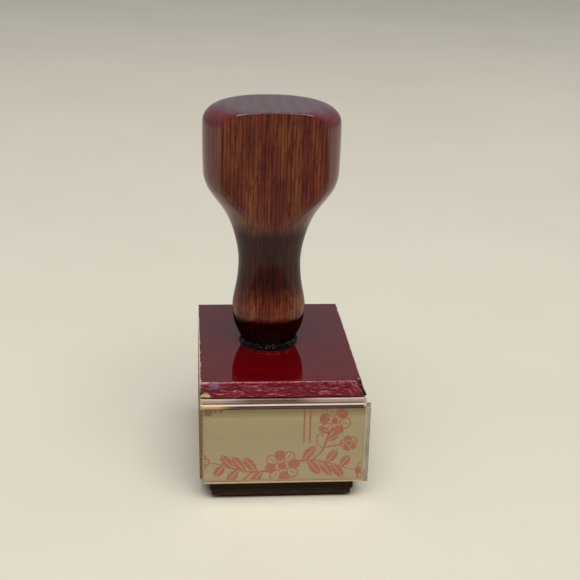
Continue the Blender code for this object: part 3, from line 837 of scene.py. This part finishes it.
def add_glue(material):
    """An uneven, lumpy fillet of glue in the corner between the foot and the board."""
    low, high = node_box("glue_bead")
    floor = node_box("top_board")[1].z + 0.02 * MM
    widest = (high.x - low.x) / 2
    foot = handle_outline()[0][1]
    turns = 200
    around = 16
    rings = []
    for i in range(turns):
        angle = 2 * pi * i / turns
        out = Vector((cos(angle), sin(angle), 0))
        swell = 1.5 * noise.noise(out * 2.3 + Vector((4, 0, 0)))
        lump = 1.3 * noise.noise(out * 6.0) + 0.9 * noise.noise(out * 17.0)
        height = (high.z - floor) * clamped(0.74 + 0.35 * swell + 0.24 * lump, 0.3)
        ring = []
        for j in range(around):
            part = j / (around - 1)
            bulge = cos(part * pi / 2) ** 0.8
            ripple = 0.3 * MM * noise.noise(out * 15 + Vector((0, 0, part * 4))) * sin(pi * part)
            thick = (widest - foot - 0.25 * MM) * max(0.62 + 0.45 * swell + 0.35 * lump, 0.1) * bulge
            radius = min(foot + 0.25 * MM + thick + ripple, widest)
            ring.append(Vector((HANDLE_X, 0, floor + height * part)) + out * radius)
        inner = foot - 0.35 * MM
        ring.append(Vector((HANDLE_X, 0, floor + height - 0.12 * MM)) + out * inner)
        ring.append(Vector((HANDLE_X, 0, floor)) + out * inner)
        rings.append(ring)
    bm = bmesh.new()
    rows = new_rows(bm, rings)
    for near, far in zip(rows, rows[1:] + rows[:1]):
        join_rows(bm, near, far)
    return add_piece("glue_fillet", finish_mesh(bm, 60), material, "mount", "black_glue", "glue_bead")


# --- board

def board_inset(height):
    """How far the board's right end leans in at a height over its underside."""
    if height < BOARD_KNEE_HEIGHT:
        return BOARD_KNEE_SLOPE * height / BOARD_KNEE_HEIGHT
    rest = (height - BOARD_KNEE_HEIGHT) / (BOARD_THICKNESS - BOARD_KNEE_HEIGHT)
    return BOARD_KNEE_SLOPE + (BOARD_RIGHT_SLOPE - BOARD_KNEE_SLOPE) * rest


def add_board(material):
    """The lacquered board: rounded edges, leaning ends, a brushed front, a chipped and a torn corner."""
    low, high = node_box("top_board")
    bm = rounded_slab(low, high, BOARD_ROUNDING, (0.4 * MM, 1.1 * MM, 0.2 * MM))
    thickness = high.z - low.z
    chip = Vector((low.x + 0.9 * MM, low.y, low.z + 0.9 * MM))
    for vertex in bm.verts:
        co = vertex.co
        height = co.z - low.z
        if co.y < low.y + BOARD_ROUNDING:
            strokes = noise.noise(Vector((co.x * 90, 0, co.z * 1150 + co.x * 60)))
            strokes += 0.6 * noise.noise(Vector((co.x * 220, 5, co.z * 2100 - co.x * 90)))
            depth = 0.1 * MM * strokes * min(1.0, (low.y + BOARD_ROUNDING - co.y) / (0.2 * MM))
            torn = clamped((co.x - high.x + 2.6 * MM) / (2 * MM)) * (1 - 0.6 * height / thickness)
            depth += 0.45 * MM * torn * (0.5 + noise.noise(co * 1300))
            co.y += max(depth, -0.08 * MM)
        bite = (co - chip).length
        if bite < 2.2 * MM and co.y < low.y + 2 * MM:
            rough = noise.noise(co * 1500)
            fade = 1 - bite / (2.2 * MM)
            co.y += max(0.0, 0.55 * MM * fade + 0.12 * MM * rough * fade)
        if co.x < 0:
            co.x += BOARD_LEFT_SLOPE * height / thickness * co.x / low.x
        else:
            co.x -= board_inset(height) * co.x / high.x
        if abs(co.x) > high.x - 2.5 * MM:
            ragged = max(0.0, 0.04 + noise.noise(Vector((co.y * 420, co.x * 100, co.z * 500))))
            co.x -= 0.16 * MM * ragged * (1 if co.x > 0 else -1)
    return add_piece("lacquered_board", finish_mesh(bm, 60), material, "mount", "cherry_lacquer", "top_board")


# --- index cover

def arc(centre, radius, start, end, steps):
    angles = [radians(turn) for turn in evenly(start, end - start, steps)]
    return [(centre[0] + radius * cos(t), centre[1] + radius * sin(t)) for t in angles]


def rail_section(face, foot, top):
    """(y, z) points of the rail's cross-section: a round bead, a flat band over it, flange and hook."""
    inside = face + COVER_WALL
    back = face + FLANGE_DEPTH
    under = top - COVER_WALL
    half_height = (top - foot) / 4
    sink = BEAD_RADIUS - BEAD_STAND
    half_angle = degrees(acos(sink / BEAD_RADIUS))
    slot_top = foot + TONGUE_RISE
    points = arc((face + sink, foot + half_height), BEAD_RADIUS, 180 + half_angle, 180 - half_angle, 16)
    steps = 16
    for i in range(1, steps + 1):
        angle = pi * (i / steps - 0.5)
        stand = 0.8 * BEAD_STAND * max(cos(angle), 0.0) ** 0.4
        points.append((face - stand, top - half_height * (1 - sin(angle))))
    points += [(back, top), (back, under - HOOK_DROP), (back - COVER_WALL, under - HOOK_DROP)]
    points += [(back - COVER_WALL, under), (inside, under), (inside, slot_top)]
    points += [(face + SKIRT_WALL, slot_top), (face + SKIRT_WALL, foot)]
    return points


def window_section(face, bottom, foot):
    """(y, z) points of the window's cross-section: its tongue behind the rail's foot, its lip and its toe."""
    inside = face + COVER_WALL
    shoulder = foot - GROOVE_CLEARANCE
    tongue_front = face + SKIRT_WALL + GROOVE_CLEARANCE
    tongue_top = shoulder + TONGUE_RISE
    lip_back = face + LIP_DEPTH
    lip_top = bottom + LIP_WALL
    points = arc((face + WINDOW_EDGE, bottom + WINDOW_EDGE), WINDOW_EDGE, 270, 180, 4)
    points += arc((face + WINDOW_EDGE, shoulder - WINDOW_EDGE), WINDOW_EDGE, 180, 90, 4)
    points += [(tongue_front, shoulder), (tongue_front, tongue_top), (inside, tongue_top), (inside, lip_top)]
    points += [(lip_back - COVER_WALL, lip_top), (lip_back - COVER_WALL, lip_top + TOE_RISE)]
    points += [(lip_back, lip_top + TOE_RISE), (lip_back, bottom)]
    return points


def extrusion_mesh(stops, section, shape):
    """Copies of a (y, z) cross-section along X, joined; shape moves each point to its place."""
    bm = bmesh.new()
    rows = new_rows(bm, [[shape(x, y, z) for y, z in section] for x in stops])
    for near, far in zip(rows, rows[1:]):
        join_rows(bm, near, far)
    bm.faces.new(rows[0])
    bm.faces.new(rows[-1])
    return finish_mesh(bm, 30)


def add_rail(material):
    low, high = node_box("index_rail")
    face = low.y + BEAD_STAND

    def shape(x, y, z):
        above_foot = (z - low.z) / (high.z - low.z)
        from_end = min(x - low.x, high.x - x)
        if y < face and from_end < RAIL_END_WEAR:
            y = face + (y - face) * sqrt(max(1 - (1 - from_end / RAIL_END_WEAR) ** 2, 0.01))
        part = (x - low.x) / (high.x - low.x)
        return (x - RAIL_END_SLOPE * above_foot * part, y, z)

    turn = [RAIL_END_WEAR * (1 - cos(pi / 2 * i / 6)) for i in range(6)]
    inner = evenly(low.x + RAIL_END_WEAR, high.x - low.x - 2 * RAIL_END_WEAR, 20)
    stops = [low.x + part for part in turn] + inner + [high.x - part for part in reversed(turn)]
    mesh = extrusion_mesh(stops, rail_section(face, low.z, high.z), shape)
    return add_piece("clear_rail", mesh, material, "mount", "clear_plastic", "index_rail")


def add_window(material):
    low, high = node_box("index_cover")
    rail_foot = node_box("index_rail")[0].z

    def shape(x, y, z):
        return (x, y + 0.015 * MM * (1 + noise.noise(Vector((x * 90, 0, 0)))), z)

    stops = evenly(low.x, high.x - low.x, 20)
    mesh = extrusion_mesh(stops, window_section(low.y, low.z, rail_foot), shape)
    return add_piece("clear_window", mesh, material, "cover", "clear_plastic", "index_cover")


def add_block(material):
    """The raw block as the CAD has it, with its long edges just broken."""
    bm = bmesh.new()
    bm.from_mesh(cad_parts["mount_block"].data)
    bmesh.ops.remove_doubles(bm, verts=bm.verts, dist=0.005 * MM)
    bmesh.ops.dissolve_limit(bm, angle_limit=radians(1), verts=bm.verts, edges=bm.edges)
    edges = [e for e in bm.edges if len(e.link_faces) == 2 and e.calc_length() > 0.8 * MM]
    edges = [e for e in edges if e.calc_face_angle() > radians(40)]
    bmesh.ops.bevel(bm, geom=edges, offset=0.15 * MM, segments=2, profile=0.5, affect="EDGES",
                    clamp_overlap=True)
    return add_piece("raw_block", finish_mesh(bm, 40), material, "mount", "raw_wood", "mount_block")


# --- picture

def on_die(along, height, turn):
    """A point of the picture as (x, y) on the die; turn is -1 for the half that is turned round."""
    return (-turn * height, turn * along)


def stem_height(along):
    return STEM_WAVE * sin(pi * along / STEM_HALF_WAVE)


def strip(points, width, taper=False):
    """The outline of a line that follows a few points; a tapered one narrows to its end."""
    points = [Vector((*point, 0.0)) for point in points]
    if len(points) > 2:
        points = smooth_curve(points, 0.5 * MM)
    left = []
    right = []
    for i, point in enumerate(points):
        along = (points[min(i + 1, len(points) - 1)] - points[max(i - 1, 0)]).normalized()
        half = width / 2 * (1 - 0.75 * i / len(points) if taper else 1)
        across = Vector((-along.y, along.x, 0)) * half
        left.append((point + across)[:2])
        right.append((point - across)[:2])
    return [tuple(p) for p in left + right[::-1]]


def ring_shape(points, width):
    """A closed line, as its outer and its inner loop."""
    count = len(points)
    outer = []
    inner = []
    for i in range(count):
        along = (Vector(points[(i + 1) % count]) - Vector(points[i - 1])).normalized()
        across = Vector((-along.y, along.x)) * width / 2
        outer.append(Vector(points[i]) + across)
        inner.append(Vector(points[i]) - across)
    return ("ring", [tuple(p) for p in outer], [tuple(p) for p in inner])


def leaf_half(base, direction, length, width, side, gap):
    """One half of a leaf, with a gap along the midrib."""
    along = Vector((cos(radians(direction)), sin(radians(direction))))
    across = Vector((-along.y, along.x)) * side
    edge = []
    rib = []
    steps = 9
    for i in range(steps + 1):
        part = i / steps
        swell = width / 2 * sin(pi * part) ** 0.75 if 0 < part < 1 else 0.0
        tooth = 0.07 * width * (1 if i % 2 else -1) if 0 < part < 1 else 0.0
        edge.append(tuple(Vector(base) + along * length * part + across * max(swell + tooth, gap)))
        rib.append(tuple(Vector(base) + along * length * part + across * gap * (1 - 0.5 * part)))
    return edge + rib[::-1]


def flower_petals(centre, radius, petals, turned):
    """Petal outlines, each a round loop that starts near the flower's middle."""
    loops = []
    for k in range(petals):
        heading = 2 * pi * k / petals + turned
        along = Vector((cos(heading), sin(heading)))
        across = Vector((-along.y, along.x))
        half = radius * sin(pi / petals) * 0.95
        loop = []
        for i in range(12):
            angle = 2 * pi * i / 12
            reach = radius * (0.66 + 0.34 * cos(angle))
            out = Vector(centre) + along * reach
            loop.append(tuple(out + across * half * sin(angle) * (0.75 + 0.25 * cos(angle))))
        loops.append(loop)
    return loops


def disc(centre, radius):
    angles = [2 * pi * i / 16 for i in range(16)]
    return [(centre[0] + radius * cos(t), centre[1] + radius * sin(t)) for t in angles]


def flower(centre, radius, petals, turned):
    """Shapes of one flower: filled and open petals in turn, a line in each open one, and a round middle."""
    shapes = []
    for number, loop in enumerate(flower_petals(centre, radius, petals, turned)):
        if number % 2 == 0:
            shapes.append(loop)
        else:
            shapes.append(ring_shape(loop, LINE))
            middle = Vector(centre)
            tip = Vector(loop[0])
            shapes.append(strip([middle.lerp(tip, 0.5), middle.lerp(tip, 0.82)], LINE * 0.8))
    shapes.append(disc(centre, radius * 0.24))
    return shapes


def half_picture(turn):
    """All shapes of one half of the picture, in (x, y) on the die."""
    stem = [on_die(along * MM, stem_height(along * MM), turn) for along in range(3, 20, 2)]
    shapes = [strip(stem, LINE * 1.8, taper=True)]
    for width, points in BRANCHES:
        points = [on_die(along * MM, height * MM, turn) for along, height in points]
        shapes.append(strip(points, LINE * width))
    around = 90 if turn > 0 else 270

    def add_leaf(along, height, heading, length, width, gap):
        foot = on_die(along, height, turn)
        for half in (1, -1):
            shapes.append(leaf_half(foot, heading + around, length, width, half, gap))

    for along, side, length in STEM_LEAVES:
        add_leaf(along * MM, stem_height(along * MM), side * LEAF_SPREAD, length * MM, LEAF_WIDTH, 0.16 * MM)
    for along, height, heading in ((11.3, 7.2, 25), (11.9, 9.4, 155)):
        add_leaf(along * MM, height * MM, heading, 3.4 * MM, 1.7 * MM, 0.14 * MM)
    shapes += flower(on_die(13.2 * MM, 12.6 * MM, turn), 4.0 * MM, 6, 0.3)
    shapes += flower(on_die(17.0 * MM, 6.2 * MM, turn), 2.2 * MM, 5, 0.9)
    shapes += flower(on_die(STEM_TIP, stem_height(STEM_TIP), turn), TIP_RADIUS, 6, 0.5)
    for along in TRELLIS_LINES:
        ends = [on_die(along, height, turn) for height in (TRELLIS_FOOT, TRELLIS_TOP)]
        shapes.append(strip(ends, LINE * 1.3))
    return shapes


def picture():
    return half_picture(1) + half_picture(-1) + flower((0.0, 0.0), CENTRE_RADIUS, 8, 0.2)


def raise_shape(bm, shape, place_point, rise, clip=()):
    """Adds one shape as a closed raised patch: place_point puts an (x, y) in space, rise is its thickness,
    and clip lists the planes, as a point and an outward normal, that cut it off.
    """
    flat = bmesh.new()
    if shape[0] == "ring":
        join_rows(flat, *new_rows(flat, [[place_point(p) for p in loop] for loop in shape[1:]]))
    else:
        flat.faces.new([flat.verts.new(place_point(p)) for p in shape])
    for spot, normal in clip:
        geometry = flat.verts[:] + flat.edges[:] + flat.faces[:]
        bmesh.ops.bisect_plane(flat, geom=geometry, plane_co=spot, plane_no=normal, clear_outer=True)
    if flat.faces:
        made = bmesh.ops.extrude_face_region(flat, geom=flat.faces[:])["geom"]
        corners = [v for v in made if isinstance(v, bmesh.types.BMVert)]
        bmesh.ops.translate(flat, vec=rise, verts=corners)
        bmesh.ops.recalc_face_normals(flat, faces=flat.faces)
        mesh = bpy.data.meshes.new("shape")
        flat.to_mesh(mesh)
        bm.from_mesh(mesh)
        bpy.data.meshes.remove(mesh)
    flat.free()


def add_print(material):
    """The die's impression on the card in real size, turned a quarter and cut off at the ends and below."""
    low, high = node_box("index_card")
    stem_z = low.z + STEM_ON_CARD
    front = low.y - PRINT_LIFT
    margins = Vector((PRINT_SIDE_MARGIN, 0, PRINT_EDGE_MARGIN))
    edges = [(corner + margins * side, Vector(axis) * -side)
             for axis in ((1, 0, 0), (0, 0, 1)) for corner, side in ((low, 1), (high, -1))]
    bm = bmesh.new()
    for number, shape in enumerate(picture()):
        thick = INK_THICKNESS + INK_STEP * (number % HEIGHT_CYCLE)
        raise_shape(bm, shape, lambda p: Vector((p[1], front, stem_z - p[0])), Vector((0, -thick, 0)), edges)
    return add_piece("index_print", plain_mesh(bm), material, "mount", "cream_card")


def add_die(material):
    """The rubber sheet with its raised mirrored picture."""
    low, high = node_box("rubber_die")
    base_low = Vector((low.x, low.y, low.z + RELIEF_HEIGHT))
    bm = rounded_slab(base_low, high, 0.2 * MM, (3 * MM, 3 * MM, 0.6 * MM))
    bmesh.ops.recalc_face_normals(bm, faces=bm.faces)
    rise = Vector((0, 0, RELIEF_HEIGHT + RELIEF_OVERLAP))
    for number, shape in enumerate(picture()):
        foot = low.z + RELIEF_STEP * (number % HEIGHT_CYCLE)
        raise_shape(bm, shape, lambda p: Vector((p[0], p[1], foot)), rise)
    return add_piece("moulded_die", smooth_mesh(bm, 40), material, "die", "rubber", "rubber_die")


def add_cushion(material):
    """Foam sheet with soft edges whose sides bulge a little."""
    low, high = node_box("cushion")
    bm = rounded_slab(low, high, 0.3 * MM, (0.8 * MM, 0.8 * MM, 0.35 * MM))
    middle = (low.z + high.z) / 2
    half = (high.z - low.z) / 2
    for vertex in bm.verts:
        co = vertex.co
        side = 1 - ((co.z - middle) / half) ** 2
        ragged = 0.12 * MM * noise.noise(co * 900)
        for axis in range(2):
            if abs(co[axis]) > high[axis] - 0.5 * MM:
                co[axis] += (0.05 * MM * side + ragged - 0.12 * MM) * (1 if co[axis] > 0 else -1)
    item = add_piece("foam_cushion", finish_mesh(bm, 50), material, "mount", "foam", "cushion")
    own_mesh(item)
    return item


def dress_cad_node(name, material):
    """Gives a CAD node that stays its own detailed material."""
    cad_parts[name].material_slots[0].material = material


# --- stage

def add_floor():
    """A pale floor that runs out of the picture on every side."""
    mesh = bpy.data.meshes.new("floor")
    reach = FLOOR_REACH
    corners = [(-reach, -reach, 0), (reach, -reach, 0), (reach, reach, 0), (-reach, reach, 0)]
    mesh.from_pydata(corners, [], [(0, 1, 2, 3)])
    mesh.materials.append(pale_floor())
    floor = new_object("floor", mesh)


def add_flag():
    """A dark cloth before the stamp, unseen itself and fading at its edges, that keeps the varnish deep."""
    mesh = bpy.data.meshes.new("flag")
    corners = [(x, y, z) for y, z in FLAG_PROFILE for x in (-FLAG_REACH, FLAG_REACH)]
    mesh.from_pydata(corners, [], [(0, 1, 3, 2), (2, 3, 5, 4)])
    mesh.materials.append(flag_cloth(*FLAG_EDGE, FLAG_SIDES))
    flag = new_object("flag", mesh)
    flag.visible_camera = False
    flag.visible_transmission = False
    flag.visible_shadow = False


def add_lights():
    """A large soft lamp overhead, and the soft light of the room."""
    data = bpy.data.lights.new("softbox", "AREA")
    data.shape = "DISK"
    data.size = SOFTBOX_SIZE
    data.energy = SOFTBOX_POWER
    data.color = SOFTBOX_COLOR
    lamp = new_object("softbox", data)
    lamp.location = SOFTBOX_PLACE
    aim = Vector(SOFTBOX_TARGET) - Vector(SOFTBOX_PLACE)
    lamp.rotation_euler = aim.to_track_quat("-Z", "Y").to_euler()
    world = bpy.data.worlds.new("soft_room")
    bpy.context.scene.world = world
    world.use_nodes = True
    wire(world.node_tree.nodes["Background"], Color=ROOM_COLOR, Strength=ROOM_STRENGTH)


def add_camera():
    """The camera stands a little to the left, looks down and is tipped slightly."""
    pitch = radians(CAMERA_PITCH)
    yaw = radians(CAMERA_YAW)
    roll = radians(CAMERA_ROLL)
    ahead = Vector((sin(yaw), cos(yaw), 0))
    right = Vector((cos(yaw), -sin(yaw), 0))
    forward = ahead * cos(pitch) - Vector((0, 0, sin(pitch)))
    up = ahead * sin(pitch) + Vector((0, 0, cos(pitch)))
    tipped_right = right * cos(roll) + up * sin(roll)
    tipped_up = up * cos(roll) - right * sin(roll)
    data = bpy.data.cameras.new("camera")
    data.lens = CAMERA_LENS
    data.sensor_width = 36.0
    data.clip_start = 0.01
    camera = new_object("camera", data)
    turn = Matrix((tipped_right, tipped_up, -forward)).transposed()
    camera.matrix_world = Matrix.Translation(Vector(CAMERA_PLACE)) @ turn.to_4x4()
    bpy.context.scene.camera = camera


def build():
    add_camera()
    add_floor()
    add_flag()
    add_lights()
    bpy.context.scene.view_settings.view_transform = "Standard"

    board_low, board_high = node_box("top_board")
    film = adhesive_film()

    add_handle(varnished_wood(board_high.z))
    add_glue(black_glue())
    add_board(red_lacquer(board_low, board_high))
    add_block(raw_wood())
    add_rail(rail_plastic(*node_box("index_rail")))
    add_window(window_plastic(node_box("index_cover")[0], node_box("mount_block")[1].x))
    add_print(coral_ink())
    add_die(moulded_rubber())
    add_cushion(sponge_rubber())
    dress_cad_node("index_card", aged_card(*node_box("index_card")))
    dress_cad_node("handle_screw", zinc_steel())
    dress_cad_node("mount_adhesive", film)
    dress_cad_node("die_adhesive", film)


build()
